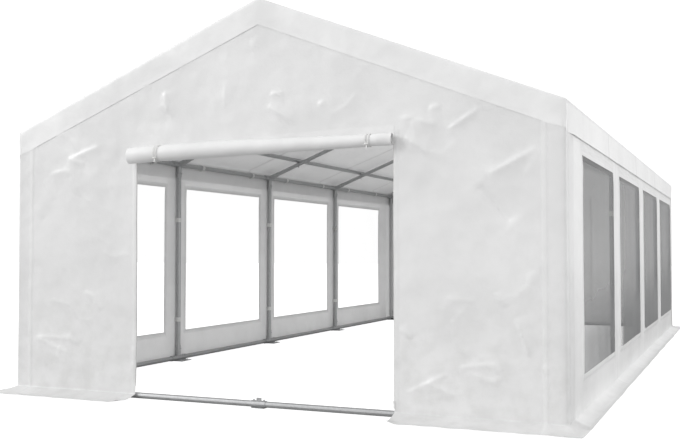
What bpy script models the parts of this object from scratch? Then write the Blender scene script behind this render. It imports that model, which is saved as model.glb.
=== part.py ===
# Marquee tent: a gabled frame of round steel tube, a roof sheet on purlins, zipped-on walls
# with four clear windows a side, and a roll-up door in each gable.
# Metres, +Z up, X across the gable, Y along the ridge, the open door at -Y.
# The origin is on the ground at the middle of the plan.

from math import atan
from math import cos
from math import pi
from math import sin

import bmesh
import bpy
from mathutils import Matrix
from mathutils import Vector

# Outside sizes of the covered tent
WIDTH = 4.10
LENGTH = 8.04
EAVE = 1.934
RIDGE = 2.748

# Frame
BAY = 1.87
TUBE = 0.042
SLEEVE = 0.052
SOCKET = 0.048
SLEEVE_REACH = 0.12
PURLIN_X = 1.66
SIDES = 16

# Feet
PLATE_THICK = 0.006
PLATE_LENGTH = 0.16
PLATE_INWARD = 0.10
PLATE_OUTWARD = 0.023
RAIL_HEIGHT = 0.0265
TAB_TOP = 0.068

# Cloth
SHEET = 0.003
FILM = 0.002
GAP = 0.0003
LAYER_GAP = 0.0008
TOP_CLEAR = 0.0025
SIDE_FLAP = 0.19
GABLE_FLAP = 0.18
RETURN = 0.20
TURN = 0.045

# Ground flaps, row by row from the wall: out of the gable, out of the side, height
SKIRT_ROWS = ((0.022, 0.018, 0.014), (0.060, 0.045, 0.0), (0.205, 0.112, 0.0))

# Doors and windows
DOOR_WIDTH = 1.94
DOOR_TOP = 1.79
WINDOW_WIDTH = 1.494
WINDOW_SILL = 0.279
WINDOW_HEAD = 1.647
ROLL_LEFT = -1.06
ROLL_RIGHT = 0.945
ROLL_RADIUS = 0.060
ROLL_WAIST = 0.054
ROLL_HEIGHT = 1.750
ROLL_RISE = 0.025
ROLL_TIES = (-0.86, 0.755)

# Worked out from the sizes above
PITCH = atan((RIDGE - EAVE) / (WIDTH / 2))
INNER_X = WIDTH / 2 - 2 * SHEET - LAYER_GAP
INNER_Y = LENGTH / 2 - 2 * SHEET - LAYER_GAP
LEG_X = INNER_X - GAP - SLEEVE / 2
END_Y = INNER_Y - GAP - SLEEVE / 2
FRAMES_Y = (-END_Y, -BAY, 0.0, BAY, END_Y)
WINDOWS_Y = (-1.5 * BAY, -0.5 * BAY, 0.5 * BAY, 1.5 * BAY)
RAFTER_DROP = 1.5 * TUBE + SHEET + 2 * GAP
PURLIN_DROP = 0.5 * TUBE + SHEET + GAP
UPHILL = Vector((cos(PITCH), 0.0, sin(PITCH)))


# Height of a line that runs the given distance below the roof's outer face
def under_roof(x, drop):
    return RIDGE - abs(x) * (RIDGE - EAVE) / (WIDTH / 2) - drop / cos(PITCH)


EAVE_JOINT = under_roof(LEG_X, RAFTER_DROP)
RIDGE_JOINT = under_roof(0.0, RAFTER_DROP)


def clear_scene():
    for thing in list(bpy.data.objects):
        bpy.data.objects.remove(thing)


def make_collection(name):
    made = bpy.data.collections.new(name)
    bpy.context.scene.collection.children.link(made)
    return made


def make_material(name, colour, roughness, metallic, alpha=1.0):
    made = bpy.data.materials.new(name)
    made.use_nodes = True
    shader = made.node_tree.nodes["Principled BSDF"]
    shader.inputs["Base Color"].default_value = (*colour, 1.0)
    shader.inputs["Roughness"].default_value = roughness
    shader.inputs["Metallic"].default_value = metallic
    shader.inputs["Alpha"].default_value = alpha
    return made


def add_object(name, shape, collection, material=None):
    mesh = bpy.data.meshes.new(name)
    shape.to_mesh(mesh)
    shape.free()
    made = bpy.data.objects.new(name, mesh)
    collection.objects.link(made)
    if material:
        mesh.materials.append(material)
    return made


# A round rod between two points
def rod(start, end, diameter):
    start = Vector(start)
    end = Vector(end)
    along = end - start
    turned = along.to_track_quat("Z", "Y").to_matrix().to_4x4()
    shape = bmesh.new()
    bmesh.ops.create_cone(shape, cap_ends=True, segments=SIDES, radius1=diameter / 2,
                          radius2=diameter / 2, depth=along.length,
                          matrix=Matrix.Translation((start + end) / 2) @ turned)
    return shape


def box(low, high):
    low = Vector(low)
    high = Vector(high)
    size = high - low
    shape = bmesh.new()
    bmesh.ops.create_cube(shape, size=1.0,
                          matrix=Matrix.Translation((low + high) / 2) @ Matrix.Diagonal((*size, 1.0)))
    return shape


# One solid from several shapes that run into each other, less the shapes in cuts
def fuse(name, shapes, material, cuts=()):
    made = add_object(name, shapes[0], parts, material)
    helpers = []
    steps = [(shape, "UNION") for shape in shapes[1:]]
    steps += [(shape, "DIFFERENCE") for shape in cuts]
    for number, (shape, operation) in enumerate(steps):
        helper = add_object(f"{name}_{number}", shape, cutters)
        step = made.modifiers.new(f"{operation.lower()} {number}", "BOOLEAN")
        step.operation = operation
        step.object = helper
        helpers.append(helper)
    seen = made.evaluated_get(bpy.context.evaluated_depsgraph_get())
    joined = bpy.data.meshes.new_from_object(seen)
    made.modifiers.clear()
    made.data = joined
    for helper in helpers:
        bpy.data.objects.remove(helper)
    shade_round(made)
    return made


def shade_round(made):
    made.data.shade_smooth()
    made.data.set_sharp_from_angle(angle=pi / 6)


# What a tube's end is coped with, to sit against the sleeve of a tube that runs along Y
def cope(x, z):
    reach = END_Y + 2 * SLEEVE
    return rod((x, -reach, z), (x, reach, z), SLEEVE + 2 * GAP)


# Clears room for a leg's sleeve above or below the joint at the given height
def leg_room(x, y, z, way):
    return rod((x, y, z), (x, y, z + way * SLEEVE_REACH), SOCKET + 2 * GAP)


# A leg stands on the ground rail and carries the eaves tube, with a sleeve at each end
def add_leg(name, side, y):
    x = side * LEG_X
    shapes = [
        rod((x, y, RAIL_HEIGHT + SLEEVE / 4), (x, y, EAVE_JOINT - SLEEVE / 4), TUBE),
        rod((x, y, RAIL_HEIGHT + SLEEVE / 8), (x, y, RAIL_HEIGHT + SLEEVE_REACH), SOCKET),
        rod((x, y, EAVE_JOINT - SLEEVE_REACH), (x, y, EAVE_JOINT - SLEEVE / 8), SOCKET),
    ]
    fuse(name, shapes, steel, [cope(x, RAIL_HEIGHT), cope(x, EAVE_JOINT)])


# A rafter runs from the eaves tube to a mitre under the ridge tube, with a sleeve at its foot
def add_rafter(name, side, y):
    uphill = Vector((-side * UPHILL.x, 0.0, UPHILL.z))
    low = Vector((side * LEG_X, y, EAVE_JOINT))
    high = Vector((0.0, y, RIDGE_JOINT))
    shapes = [
        rod(low + uphill * SLEEVE / 4, high + uphill * TUBE, TUBE),
        rod(low + uphill * SLEEVE / 8, low + uphill * SLEEVE_REACH, SOCKET),
    ]
    past = (-side * 2 * TUBE, y + TUBE, RIDGE)
    mitre = (side * GAP / 2, y - TUBE, RIDGE_JOINT - 2 * TUBE)
    beyond = box([min(pair) for pair in zip(past, mitre)], [max(pair) for pair in zip(past, mitre)])
    fuse(name, shapes, steel, [cope(low.x, low.z), leg_room(low.x, y, low.z, -1), beyond])


# Sleeves along Y round a joint, cut short at the two end frames
def run_sleeve(x, y, z):
    low = max(y - SLEEVE_REACH, -END_Y - SLEEVE / 4)
    high = min(y + SLEEVE_REACH, END_Y + SLEEVE / 4)
    return rod((x, low, z), (x, high, z), SLEEVE)


# The eaves tube, with a sleeve over each leg
def add_eaves_purlin(name, side):
    x = side * LEG_X
    shapes = [rod((x, -END_Y, EAVE_JOINT), (x, END_Y, EAVE_JOINT), TUBE)]
    shapes += [run_sleeve(x, y, EAVE_JOINT) for y in FRAMES_Y]
    fuse(name, shapes, steel)


# The ridge tube and the roof purlins lie on the rafters, right under the cloth
def add_top_tube(name, x):
    end = END_Y + TUBE / 2
    height = under_roof(x, PURLIN_DROP)
    made = add_object(name, rod((x, -end, height), (x, end, height), TUBE), parts, steel)
    shade_round(made)


# The ground rail of a long side, with a sleeve and a foot plate under each leg
def add_side_rail(name, side):
    x = side * LEG_X
    shapes = [rod((x, -END_Y, RAIL_HEIGHT), (x, END_Y, RAIL_HEIGHT), TUBE)]
    outer = x + side * PLATE_OUTWARD
    inner = x - side * PLATE_INWARD
    for y in FRAMES_Y:
        shapes.append(run_sleeve(x, y, RAIL_HEIGHT))
        near = max(y - PLATE_LENGTH / 2, -END_Y - PLATE_OUTWARD)
        far = min(y + PLATE_LENGTH / 2, END_Y + PLATE_OUTWARD)
        shapes.append(box((min(outer, inner), near, 0.0), (max(outer, inner), far, PLATE_THICK)))
    fuse(name, shapes, steel)


# The ground rail across a gable, joined at the middle over a small foot with an upright tab
def add_gable_rail(name, y):
    end = LEG_X - SLEEVE / 8
    shapes = [
        rod((-end + SLEEVE / 8, y, RAIL_HEIGHT), (end - SLEEVE / 8, y, RAIL_HEIGHT), TUBE),
        rod((-end, y, RAIL_HEIGHT), (-LEG_X + SLEEVE_REACH, y, RAIL_HEIGHT), SOCKET),
        rod((LEG_X - SLEEVE_REACH, y, RAIL_HEIGHT), (end, y, RAIL_HEIGHT), SOCKET),
        rod((-0.055, y, RAIL_HEIGHT), (0.055, y, RAIL_HEIGHT), SOCKET),
        box((-0.045, y - 0.024, 0.0), (0.045, y + 0.0235, PLATE_THICK)),
        box((-0.018, y - 0.003, RAIL_HEIGHT), (0.018, y + 0.003, TAB_TOP)),
    ]
    cuts = []
    for x in (-LEG_X, LEG_X):
        cuts.append(cope(x, RAIL_HEIGHT))
        cuts.append(leg_room(x, y, RAIL_HEIGHT, 1))
        cuts.append(box((x - PLATE_INWARD - GAP, y - 2 * SLEEVE, -GAP),
                        (x + PLATE_INWARD + GAP, y + 2 * SLEEVE, PLATE_THICK + GAP)))
    fuse(name, shapes, steel, cuts)


# Turns a sheet's faces outwards, gives the sheet its thickness on that side
def add_sheet(name, shape, outward, material):
    bmesh.ops.recalc_face_normals(shape, faces=shape.faces)
    shape.faces.ensure_lookup_table()
    if shape.faces[0].normal.dot(outward) < 0:
        bmesh.ops.reverse_faces(shape, faces=shape.faces)
    made = add_object(name, shape, parts, material)
    thick = made.modifiers.new("cloth", "SOLIDIFY")
    thick.thickness = SHEET
    thick.offset = 1.0
    thick.use_even_offset = True
    return made


# Draws a row of new edges out of the given ones and moves the new points
def pull_out(shape, edges, move):
    pulled = bmesh.ops.extrude_edge_only(shape, edges=edges)["geom"]
    for vert in pulled:
        if isinstance(vert, bmesh.types.BMVert):
            vert.co = move(vert.co)
    return [edge for edge in pulled if isinstance(edge, bmesh.types.BMEdge)]


def is_level(edge, height):
    return all(abs(vert.co.z - height) < GAP for vert in edge.verts)


# The ground flap: rows of cloth from the wall's foot out over the ground
def add_skirt(shape):
    edges = [edge for edge in shape.edges if is_level(edge, TURN)]
    for gable_out, side_out, height in SKIRT_ROWS:

        def move(place):
            x, y = place.x, place.y
            if abs(x) > INNER_X - GAP:
                x = (INNER_X + side_out) * (1 if x > 0 else -1)
            if abs(y) > INNER_Y - GAP:
                y = (INNER_Y + gable_out) * (1 if y > 0 else -1)
            return Vector((x, y, height))

        grown = pull_out(shape, edges, move)
        edges = [edge for edge in grown if is_level(edge, height)]


def wall_top(x):
    return under_roof(x, SHEET) - TOP_CLEAR


# A gable wall: the gable's outline round the doorway, a return round each corner, ground flaps
def add_gable_wall(name, end):
    y = end * INNER_Y
    half = DOOR_WIDTH / 2
    eave = wall_top(INNER_X)
    outline = (
        (-INNER_X, TURN), (-half, TURN), (-half, DOOR_TOP), (half, DOOR_TOP), (half, TURN),
        (INNER_X, TURN), (INNER_X, eave), (0.0, wall_top(0.0)), (-INNER_X, eave),
    )
    shape = bmesh.new()
    shape.faces.new([shape.verts.new((x, y, z)) for x, z in outline])
    corners = [edge for edge in shape.edges
               if abs(abs(edge.verts[0].co.x + edge.verts[1].co.x) / 2 - INNER_X) < GAP]
    pull_out(shape, corners, lambda place: Vector((place.x, place.y - end * RETURN, place.z)))
    add_skirt(shape)
    add_sheet(name, shape, Vector((0.0, end, 0.0)), cloth)


# The closed door hangs zipped in its gable wall's opening
def add_closed_door(name, end):
    half = DOOR_WIDTH / 2 - GAP
    shape = bmesh.new()
    outline = ((-half, TURN), (half, TURN), (half, DOOR_TOP - GAP), (-half, DOOR_TOP - GAP))
    shape.faces.new([shape.verts.new((x, end * INNER_Y, z)) for x, z in outline])
    add_skirt(shape)
    add_sheet(name, shape, Vector((0.0, end, 0.0)), cloth)


# The open door, rolled up and tied in front of the doorway's head
def add_rolled_door(name):
    length = ROLL_RIGHT - ROLL_LEFT
    middle = (ROLL_RIGHT + ROLL_LEFT) / 2
    profile = [(0.0, length / 2), (0.7 * ROLL_RADIUS, length / 2), (ROLL_RADIUS, length / 2 - 0.015)]
    for tie in sorted(ROLL_TIES, reverse=True):
        place = tie - middle
        profile += [(ROLL_RADIUS, place + 0.05), (ROLL_WAIST, place), (ROLL_RADIUS, place - 0.05)]
    profile += [(ROLL_RADIUS, 0.015 - length / 2), (0.7 * ROLL_RADIUS, -length / 2), (0.0, -length / 2)]
    shape = bmesh.new()
    verts = [shape.verts.new((x, 0.0, z)) for x, z in profile]
    for first, second in zip(verts, verts[1:]):
        shape.edges.new((first, second))
    made = add_object(name, shape, parts, cloth)
    made.location = (middle, -INNER_Y - SHEET - GAP - ROLL_RADIUS, ROLL_HEIGHT)
    made.rotation_euler = (0.0, pi / 2 - atan(ROLL_RISE / length), 0.0)
    turned = made.modifiers.new("turned", "SCREW")
    turned.steps = 24
    turned.render_steps = 24
    turned.use_merge_vertices = True
    turned.merge_threshold = 0.0001


# A long wall with its ground flap; the windows are cut through
def add_side_wall(name, side):
    x = side * INNER_X
    half = INNER_Y - RETURN - GAP
    shape = bmesh.new()
    outline = ((-half, TURN), (half, TURN), (half, wall_top(x)), (-half, wall_top(x)))
    shape.faces.new([shape.verts.new((x, y, z)) for y, z in outline])
    add_skirt(shape)
    made = add_sheet(name, shape, Vector((side, 0.0, 0.0)), cloth)
    for number, y in enumerate(WINDOWS_Y, 1):
        low = (x - 0.1, y - WINDOW_WIDTH / 2, WINDOW_SILL)
        high = (x + 0.1, y + WINDOW_WIDTH / 2, WINDOW_HEAD)
        cutter = add_object(f"{name}_cutter_{number}", box(low, high), cutters)
        cutter.hide_render = True
        cutter.display_type = "WIRE"
        cut = made.modifiers.new(f"window {number}", "BOOLEAN")
        cut.operation = "DIFFERENCE"
        cut.object = cutter


def add_window(name, side, y):
    middle = side * (INNER_X + SHEET / 2)
    low = (middle - FILM / 2, y - WINDOW_WIDTH / 2 + GAP, WINDOW_SILL + GAP)
    high = (middle + FILM / 2, y + WINDOW_WIDTH / 2 - GAP, WINDOW_HEAD - GAP)
    add_object(name, box(low, high), parts, film)


# The roof: both slopes with a flap down each long side and round each gable
def add_roof_cover(name):
    edge_x = WIDTH / 2 - SHEET
    edge_y = LENGTH / 2 - SHEET
    eave = under_roof(edge_x, SHEET)
    crown = Vector((0.0, 0.0, under_roof(0.0, PURLIN_DROP)))
    bend = TUBE / 2 + GAP
    section = [(-edge_x, EAVE - SIDE_FLAP), (-edge_x, eave)]
    section += [(bend * sin(turn), crown.z + bend * cos(turn)) for turn in (-PITCH, 0.0, PITCH)]
    section += [(edge_x, eave), (edge_x, EAVE - SIDE_FLAP)]
    shape = bmesh.new()
    verts = [shape.verts.new((x, -edge_y, z)) for x, z in section]
    edges = [shape.edges.new(pair) for pair in zip(verts, verts[1:])]
    pull_out(shape, edges, lambda place: Vector((place.x, edge_y, place.z)))
    rims = [edge for edge in shape.edges
            if all(abs(abs(vert.co.y) - edge_y) < GAP for vert in edge.verts)
            and all(vert.co.z > eave - GAP for vert in edge.verts)
            and abs(edge.verts[0].co.y - edge.verts[1].co.y) < GAP]

    def drop(place):
        low = EAVE - SIDE_FLAP if abs(place.x) > edge_x - GAP else place.z - GABLE_FLAP
        return Vector((place.x, place.y, low))

    pull_out(shape, rims, drop)
    bmesh.ops.remove_doubles(shape, verts=shape.verts, dist=GAP / 2)
    top = max(shape.faces, key=lambda face: face.calc_area())
    bmesh.ops.recalc_face_normals(shape, faces=shape.faces)
    if top.normal.z < 0:
        bmesh.ops.reverse_faces(shape, faces=shape.faces)
    made = add_object(name, shape, parts, cloth)
    thick = made.modifiers.new("cloth", "SOLIDIFY")
    thick.thickness = SHEET
    thick.offset = 1.0
    thick.use_even_offset = True


clear_scene()
parts = make_collection("marquee_tent")
cutters = make_collection("cutters")
steel = make_material("galvanised_steel", (0.42, 0.43, 0.44), 0.42, 1.0)
cloth = make_material("white_tent_sheet", (0.80, 0.81, 0.82), 0.50, 0.0)
film = make_material("clear_window_film", (0.75, 0.78, 0.80), 0.12, 0.0, 0.35)

for side_name, side in (("left", -1), ("right", 1)):
    for number, frame_y in enumerate(FRAMES_Y, 1):
        add_leg(f"leg_{side_name}_{number}", side, frame_y)
        add_rafter(f"rafter_{side_name}_{number}", side, frame_y)
    add_eaves_purlin(f"eaves_purlin_{side_name}", side)
    add_side_rail(f"ground_rail_{side_name}", side)
    add_top_tube(f"roof_purlin_{side_name}", side * PURLIN_X)
    add_side_wall(f"{side_name}_wall", side)
    for number, window_y in enumerate(WINDOWS_Y, 1):
        add_window(f"window_{side_name}_{number}", side, window_y)

add_top_tube("ridge_purlin", 0.0)
add_gable_rail("ground_rail_front", -END_Y)
add_gable_rail("ground_rail_rear", END_Y)
add_gable_wall("front_wall", -1)
add_gable_wall("rear_wall", 1)
add_rolled_door("front_door")
add_closed_door("rear_door", 1)
add_roof_cover("roof_cover")
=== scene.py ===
# Looks of the marquee tent: sheet, window film, galvanised tube and small fittings.
# Metres, +Z up, the open door at -Y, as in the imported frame.

import math

import bmesh
import bpy
import numpy as np
from mathutils import Matrix, Vector, noise


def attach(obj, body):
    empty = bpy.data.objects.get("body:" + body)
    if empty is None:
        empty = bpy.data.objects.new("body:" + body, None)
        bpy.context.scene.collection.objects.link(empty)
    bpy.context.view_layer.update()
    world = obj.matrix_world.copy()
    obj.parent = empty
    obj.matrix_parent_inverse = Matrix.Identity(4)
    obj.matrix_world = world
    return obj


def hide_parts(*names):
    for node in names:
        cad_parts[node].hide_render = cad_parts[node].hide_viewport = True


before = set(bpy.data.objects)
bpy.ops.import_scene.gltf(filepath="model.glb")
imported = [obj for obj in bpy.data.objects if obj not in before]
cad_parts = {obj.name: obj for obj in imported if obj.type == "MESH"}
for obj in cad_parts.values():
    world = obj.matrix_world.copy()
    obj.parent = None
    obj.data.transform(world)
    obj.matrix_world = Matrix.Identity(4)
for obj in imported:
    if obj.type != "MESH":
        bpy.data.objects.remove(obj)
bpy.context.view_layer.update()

# Sizes that several pieces share
tent = dict(width=4.10, length=8.04, eave=1.934, ridge=2.748, bay=1.87, tube=0.042, sleeve=0.052, socket=0.048,
            wallX=2.0447, wallY=4.0155, roofX=2.0500, roofY=4.0202, legX=2.0169, endY=3.9869, railZ=0.0265,
            purlinX=1.66, doorHalf=0.97, doorTop=1.79, sill=0.279, head=1.647, windowHalf=0.747)
tent["pitch"] = math.atan((tent["ridge"] - tent["eave"]) / (tent["width"] / 2))
tent["frames"] = (-tent["endY"], -tent["bay"], 0.0, tent["bay"], tent["endY"])
tent["windows"] = tuple(step * tent["bay"] for step in (-1.5, -0.5, 0.5, 1.5))


# Height of a line that runs the given distance below the roof's outer face
def roofLine(x, drop):
    return tent["ridge"] - np.abs(x) * math.tan(tent["pitch"]) - drop / math.cos(tent["pitch"])


tent["eaveJoint"] = float(roofLine(tent["legX"], 0.0666))
tent["ridgeJoint"] = float(roofLine(0.0, 0.0666))


# A socket that can be added, multiplied and so on
class Wire:
    def __init__(self, shade, socket):
        self.shade = shade
        self.socket = socket

    def math(self, operation, *others):
        return self.shade.node("Math", {"operation": operation}, dict(enumerate((self, *others))))

    def __add__(self, other):
        return self.math("ADD", other)

    def __sub__(self, other):
        return self.math("SUBTRACT", other)

    def __rsub__(self, other):
        return self.shade.node("Math", {"operation": "SUBTRACT"}, {0: other, 1: self})

    def __mul__(self, other):
        return self.math("MULTIPLY", other)

    __radd__ = __add__
    __rmul__ = __mul__


class Shade:
    def __init__(self, name):
        self.material = bpy.data.materials.new(name)
        self.material.use_nodes = True
        self.tree = self.material.node_tree
        self.tree.nodes.clear()

    # Adds a node; settings are set first, then its sockets get values or links
    def node(self, kind, settings=None, sockets=None, out=0):
        made = self.tree.nodes.new("ShaderNode" + kind)
        for key, value in (settings or {}).items():
            setattr(made, key, value)
        for key, value in (sockets or {}).items():
            if isinstance(value, Wire):
                self.tree.links.new(value.socket, made.inputs[key])
            else:
                made.inputs[key].default_value = value
        return Wire(self, made.outputs[out] if made.outputs else None)

    def mapped(self, low, high, value, toLow=0.0, toHigh=1.0):
        return self.node("MapRange", {"interpolation_type": "SMOOTHSTEP"},
                         {"Value": value, "From Min": low, "From Max": high, "To Min": toLow, "To Max": toHigh})

    # 1 between the two edges, softened over the given width
    def band(self, value, low, high, soft):
        return self.mapped(low - soft, low + soft, value) * self.mapped(high - soft, high + soft, value, 1.0, 0.0)

    def tones(self, factor, first, second):
        sockets = {0: factor, 6: first, 7: second}
        for key in (6, 7):
            if not isinstance(sockets[key], Wire):
                sockets[key] = (*sockets[key], 1)
        return self.node("Mix", {"data_type": "RGBA"}, sockets, 2)

    def finish(self, surface):
        self.node("OutputMaterial", None, {"Surface": surface})
        return self.material


clothLook = dict(white=(0.90, 0.90, 0.90), worn=(0.82, 0.82, 0.82), soil=(0.72, 0.72, 0.71), line=(0.62, 0.62, 0.63),
                 through=(0.82, 0.82, 0.82), under=(0.56, 0.56, 0.56), soiled=0.22, soilTop=0.35, lines=0.12,
                 weave=0.0026, rough=0.30, coat=0.3, border=0.036)


# Coated tent sheet. light is its share that shines through; seams are bands of doubled sheet in the
# cut's own metres, shadeDims is where less light comes through, as painted shade, and framed adds the windows' borders
def clothMaterial(name, light, seams=(), shadeDims=(), framed=False, **changes):
    look = {**clothLook, **changes}
    shade = Shade(name)
    place = shade.node("TexCoord", None, None, 3)
    cut = shade.node("UVMap", {"uv_map": "cut"})
    across = shade.node("SeparateXYZ", None, {0: cut}, 0)
    along = shade.node("SeparateXYZ", None, {0: cut}, 1)
    height = shade.node("SeparateXYZ", None, {0: place}, 2)
    ways = {"u": across, "v": along, "absU": across.math("ABSOLUTE"), "absV": along.math("ABSOLUTE")}
    for way, value in (("post", across), ("rafter", along)):
        nearest = (value + tent["bay"] / 2).math("FLOORED_MODULO", tent["bay"]) - tent["bay"] / 2
        ways[way] = nearest.math("ABSOLUTE")
    cloudy = shade.node("TexNoise", None, {"Vector": place, "Scale": 1.7, "Detail": 4.0, "Roughness": 0.6})
    mottled = shade.node("TexNoise", None, {"Vector": place, "Scale": 9.0, "Detail": 4.0, "Roughness": 0.6})
    bands = [(ways[way], low, high) for way, low, high in seams]
    if framed:
        beside = (across.math("FLOORED_MODULO", tent["bay"]) - tent["bay"] / 2).math("ABSOLUTE") - tent["windowHalf"]
        middle = (tent["sill"] + tent["head"]) / 2 - wallShape["foot"]
        above = (along - middle).math("ABSOLUTE") - (tent["head"] - tent["sill"]) / 2
        bands.append((beside.math("MAXIMUM", above), -0.01, look["border"]))
    doubled, edges = 0.0, 0.0
    for value, low, high in bands:
        doubled = shade.band(value, low, high, 0.0015) + doubled
        edges = shade.band(value, low - 0.002, low + 0.001, 0.001) + shade.band(value, high - 0.001, high + 0.002, 0.001) + edges
    base = shade.tones(shade.mapped(0.35, 0.7, cloudy), look["white"], look["worn"])
    # darker towards the ground, in mottled patches, up to soilTop
    soil = shade.mapped(0.0, look["soilTop"], height, 1.0, 0.0) * shade.mapped(0.35, 0.75, mottled) * look["soiled"]
    base = shade.tones(soil, base, look["soil"])
    factor = light
    if bands:
        doubled = doubled.math("MINIMUM", 1.0)
        base = shade.tones(edges.math("MINIMUM", 1.0) * look["lines"], base, look["line"])
        # painted shade: doubled seams are painted darker, in step with how much light the sheet lets through
        base = shade.tones(doubled * light, base, look["under"])
        factor = light - doubled * (light * 0.5)
    # painted shade: less light comes through where the dims lie
    for way, start, end, left in shadeDims:
        factor = factor * shade.mapped(start, end, ways[way], 1.0, left)
    weave = (shade.node("TexWave", {"bands_direction": "X"}, {"Vector": cut, "Scale": 0.314 / look["weave"]})
             + shade.node("TexWave", {"bands_direction": "Y"}, {"Vector": cut, "Scale": 0.314 / look["weave"]}))
    crumple = shade.node("TexVoronoi", {"feature": "SMOOTH_F1"}, {
        "Vector": place, "Scale": 5.5, "Smoothness": 0.3, "Detail": 1.0, "Roughness": 0.45})
    relief = crumple * 0.55 + mottled * 0.16 + weave * 0.004
    bump = shade.node("Bump", None, {"Strength": 0.5, "Distance": 0.02, "Height": relief})
    sheet = shade.node("BsdfPrincipled", None, {
        "Base Color": base, "Roughness": look["rough"] + mottled * 0.14, "Normal": bump,
        "Specular IOR Level": 0.5, "Coat Weight": look["coat"], "Coat Roughness": 0.2})
    glow = shade.node("BsdfTranslucent", None, {"Color": (*look["through"], 1)})
    return shade.finish(shade.node("MixShader", None, {0: factor, 1: sheet, 2: glow}))


# hazeAndShadeGrey is the film's slight haze and its painted shade where it is seen edge on
filmLook = dict(clear=(1.0, 1.0, 1.0), hazeAndShadeGrey=(0.138, 0.140, 0.143), edge=(0.05, 0.05, 0.05), least=0.05, most=0.63,
                lowShade=0.66, headShade=0.5)


# Clear film, slightly hazy, turns dark grey where it is seen edge on: painted shade of the dim inside seen through it
def filmMaterial(name):
    look = filmLook
    shade = Shade(name)
    place = shade.node("TexCoord", None, None, 3)
    height = shade.node("SeparateXYZ", None, {0: place}, 2)
    wavy = shade.node("TexNoise", None, {"Vector": place, "Scale": 1.6, "Detail": 1.0})
    dusty = shade.node("TexNoise", None, {"Vector": place, "Scale": 14.0, "Detail": 5.0})
    facing = shade.node("LayerWeight", None, {"Blend": 0.5}, 1)
    bump = shade.node("Bump", None, {"Strength": 0.15, "Distance": 0.01, "Height": wavy})
    # painted shade: the film grows darker towards its sill where it is seen edge on
    low = shade.mapped(tent["sill"] + 0.15, tent["sill"] + 0.6, height, look["lowShade"], 0.0)
    # painted shade: a dark band, in the edge colour, under the window's head
    headShade = shade.mapped(tent["head"] - 0.045, tent["head"] - 0.015, height)
    # painted shade: the film mixes towards dark grey where it is seen edge on, over a slight real haze
    hazeAndShade = shade.mapped(0.6, 1.05, facing) * (look["most"] + low + headShade * look["headShade"]) + dusty * 0.01 + look["least"]
    clear = shade.node("BsdfTransparent", None, {"Color": (*look["clear"], 1)})
    skin = shade.node("BsdfPrincipled", None, {
        "Base Color": shade.tones(headShade, look["hazeAndShadeGrey"], look["edge"]), "Roughness": 0.28 + dusty * 0.02,
        "Normal": bump, "Specular IOR Level": 0.085})
    return shade.finish(shade.node("MixShader", None, {0: hazeAndShade.math("MINIMUM", 1.0), 1: clear, 2: skin}))


tubeLook = dict(dark=(0.40, 0.405, 0.41), pale=(0.54, 0.545, 0.55), spangle=85.0, rough=0.36, metal=0.85)
zincLook = dict(dark=(0.46, 0.465, 0.47), pale=(0.60, 0.605, 0.61), spangle=260.0, rough=0.28, metal=0.95)


def steelMaterial(name, look):
    shade = Shade(name)
    place = shade.node("TexCoord", None, None, 3)
    spangle = shade.node("TexVoronoi", None, {"Vector": place, "Scale": look["spangle"]}, 1)
    grain = shade.node("SeparateXYZ", None, {0: spangle}, 0)
    cloudy = shade.node("TexNoise", None, {"Vector": place, "Scale": 5.0, "Detail": 4.0})
    streak = shade.node("TexNoise", None, {"Vector": place, "Scale": 140.0, "Detail": 3.0})
    tone = shade.tones(grain * 0.35 + cloudy * 0.65, look["dark"], look["pale"])
    bump = shade.node("Bump", None, {"Strength": 0.2, "Distance": 0.0005, "Height": streak + grain * 0.3})
    return shade.finish(shade.node("BsdfPrincipled", None, {
        "Base Color": tone, "Metallic": look["metal"], "Roughness": look["rough"] + grain * 0.08 + cloudy * 0.08,
        "Normal": bump}))


webbingLook = dict(white=(0.80, 0.80, 0.79), worn=(0.66, 0.66, 0.65))


# Woven strap or zip. pitch is the length of one rib, counted along the strap
def webbingMaterial(name, pitch, deep):
    look = webbingLook
    shade = Shade(name)
    cut = shade.node("UVMap", {"uv_map": "cut"})
    rib = shade.node("TexWave", {"bands_direction": "Y"}, {"Vector": cut, "Scale": 0.314 / pitch, "Distortion": 0.3})
    fray = shade.node("TexNoise", None, {"Vector": cut, "Scale": 60.0, "Detail": 3.0})
    tone = shade.tones(rib * 0.3 + fray * 0.5, look["white"], look["worn"])
    bump = shade.node("Bump", None, {"Strength": deep, "Distance": 0.0006, "Height": rib + fray * 0.3})
    return shade.finish(shade.node("BsdfPrincipled", None, {
        "Base Color": tone, "Roughness": 0.6 + fray * 0.1, "Normal": bump, "Sheen Weight": 0.15}))


def plasticMaterial(name, colour):
    shade = Shade(name)
    place = shade.node("TexCoord", None, None, 3)
    speck = shade.node("TexNoise", None, {"Vector": place, "Scale": 120.0, "Detail": 3.0})
    bump = shade.node("Bump", None, {"Strength": 0.2, "Distance": 0.0004, "Height": speck})
    return shade.finish(shade.node("BsdfPrincipled", None, {
        "Base Color": shade.tones(speck, colour, [part * 0.9 for part in colour]),
        "Roughness": 0.35 + speck * 0.12, "Normal": bump}))


# Even steps no longer than cell, with every mark hit
def ticks(marks, cell):
    found = [marks[0]]
    for low, high in zip(marks, marks[1:]):
        steps = max(1, math.ceil((high - low) / cell - 1e-6))
        found += [low + (high - low) * step / steps for step in range(1, steps + 1)]
    return found


# The flat cut, with its columns and rows at the given places
def makeCut(columns, rows):
    shape = bmesh.new()
    bmesh.ops.create_grid(shape, x_segments=len(columns) - 1, y_segments=len(rows) - 1, size=1.0)
    for vert in shape.verts:
        vert.co.x = columns[round((vert.co.x + 1) / 2 * (len(columns) - 1))]
        vert.co.y = rows[round((vert.co.y + 1) / 2 * (len(rows) - 1))]
    return shape


def cutAway(shape, inside):
    gone = [face for face in shape.faces if inside(*face.calc_center_median().xy)]
    bmesh.ops.delete(shape, geom=gone, context="FACES")


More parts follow.
